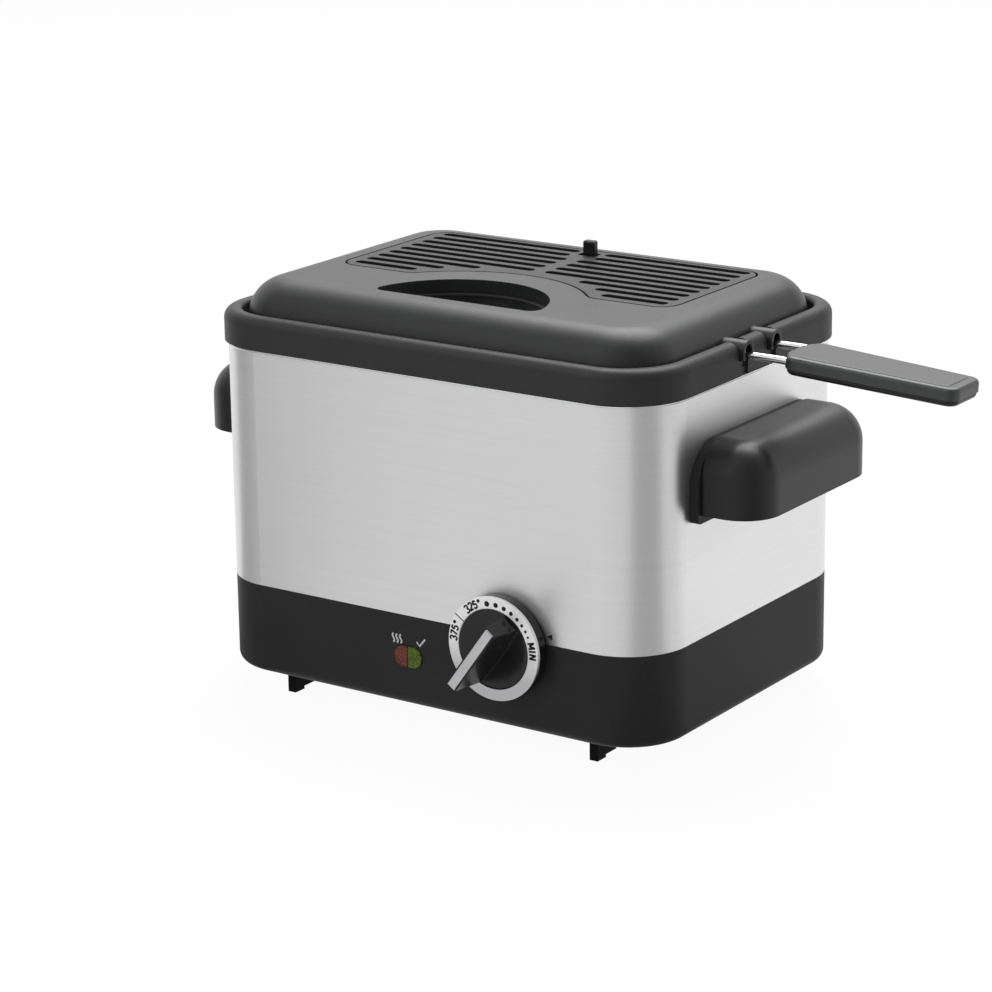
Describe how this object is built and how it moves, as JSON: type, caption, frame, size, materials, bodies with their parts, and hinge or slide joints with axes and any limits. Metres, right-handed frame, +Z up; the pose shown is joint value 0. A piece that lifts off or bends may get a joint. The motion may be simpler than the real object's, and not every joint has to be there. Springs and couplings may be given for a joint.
{
  "type": "deep fryer",
  "caption": "Compact electric deep fryer with a brushed steel body, lift-off lid with viewing window and filter grille, wire basket with side grip, and a front temperature dial.",
  "frame": {"origin": "on the ground under the middle of the steel body, level with the soles of the feet", "axes": "+X to the right, out along the basket's grip; -Y to the front, where the dial is; +Z up"},
  "size_m": [0.3574, 0.1925, 0.1905],
  "materials": {
    "base_plastic": "moulded, satin",
    "steel": "satin brushed",
    "bezel_plastic": "moulded, satin",
    "lid_plastic": "fine spark texture",
    "handle_plastic": "moulded, satin",
    "bowl_metal": "drawn, satin",
    "sheet_metal": "plain sheet",
    "heater_metal": "oxidised",
    "fastener_steel": "zinc plated",
    "control_plastic": "thermoset",
    "pin_brass": "plain",
    "knob_plastic": "gloss",
    "ring_metal": "satin",
    "bright_chrome": "polished",
    "red_lens": "translucent",
    "green_lens": "translucent",
    "lamp_glass": "clear",
    "pane": "toughened",
    "seal_rubber": "matte",
    "filter_fibre": "needled charcoal fibre",
    "mesh_steel": "tinned wire"
  },
  "bodies": {
    "fryer": {"base_shell": "base_plastic", "bottom_plate": "base_plastic", "bottom_screws": "fastener_steel", "feet": "base_plastic", "housing_wrap": "steel", "top_bezel": "bezel_plastic", "oil_bowl": "bowl_metal", "heating_element": "heater_metal", "heat_shield": "sheet_metal", "tie_bolts": "fastener_steel", "thermostat_bracket": "sheet_metal", "thermostat_body": "control_plastic", "thermal_cutoff": "control_plastic", "lens_red": "red_lens", "lens_green": "green_lens", "lamp_holder": "control_plastic", "signal_lamps": "lamp_glass", "inlet_socket": "base_plastic", "inlet_pins": "pin_brass", "handle_plate_right": "base_plastic", "handle_plate_left": "base_plastic", "handle_right": "handle_plastic", "handle_left": "handle_plastic", "handle_screws": "fastener_steel"},
    "dial": {"knob_body": "knob_plastic", "dial_ring": "ring_metal", "knob_strip": "bright_chrome", "thermostat_shaft": "fastener_steel"},
    "basket": {"basket_mesh": "mesh_steel", "basket_frame": "mesh_steel", "handle_wire": "bright_chrome", "grip_top": "lid_plastic", "grip_bottom": "handle_plastic", "grip_screw": "fastener_steel"},
    "lid": {"lid_shell": "lid_plastic", "window_gasket": "seal_rubber", "window_glass": "pane", "window_retainer": "bezel_plastic", "retainer_screws": "fastener_steel", "filter_tray": "bezel_plastic", "filter_pad": "filter_fibre"},
    "cover": {"filter_cover": "lid_plastic"},
    "latch": {"cover_latch": "handle_plastic"}
  },
  "joints": [
    {"name": "dial_turn", "type": "hinge", "parent": "fryer", "child": "dial", "pos_m": [0.0424, -0.083, 0.048], "axis": [0, 1, 0], "range_deg": [-35, 150]},
    {"name": "basket_lift", "type": "slide", "parent": "fryer", "child": "basket", "axis": [0, 0, 1], "range_m": [0, 0.1]},
    {"name": "lid_lift", "type": "slide", "parent": "basket", "child": "lid", "axis": [0, 0, 1], "range_m": [0, 0.08]},
    {"name": "cover_tilt", "type": "hinge", "parent": "lid", "child": "cover", "pos_m": [0, -0.0218, 0.1843], "axis": [1, 0, 0], "range_deg": [0, 75]},
    {"name": "latch_press", "type": "slide", "parent": "cover", "child": "latch", "axis": [0, -1, 0], "range_m": [0, 0.002], "stiffness_N_per_m": 300}
  ]
}
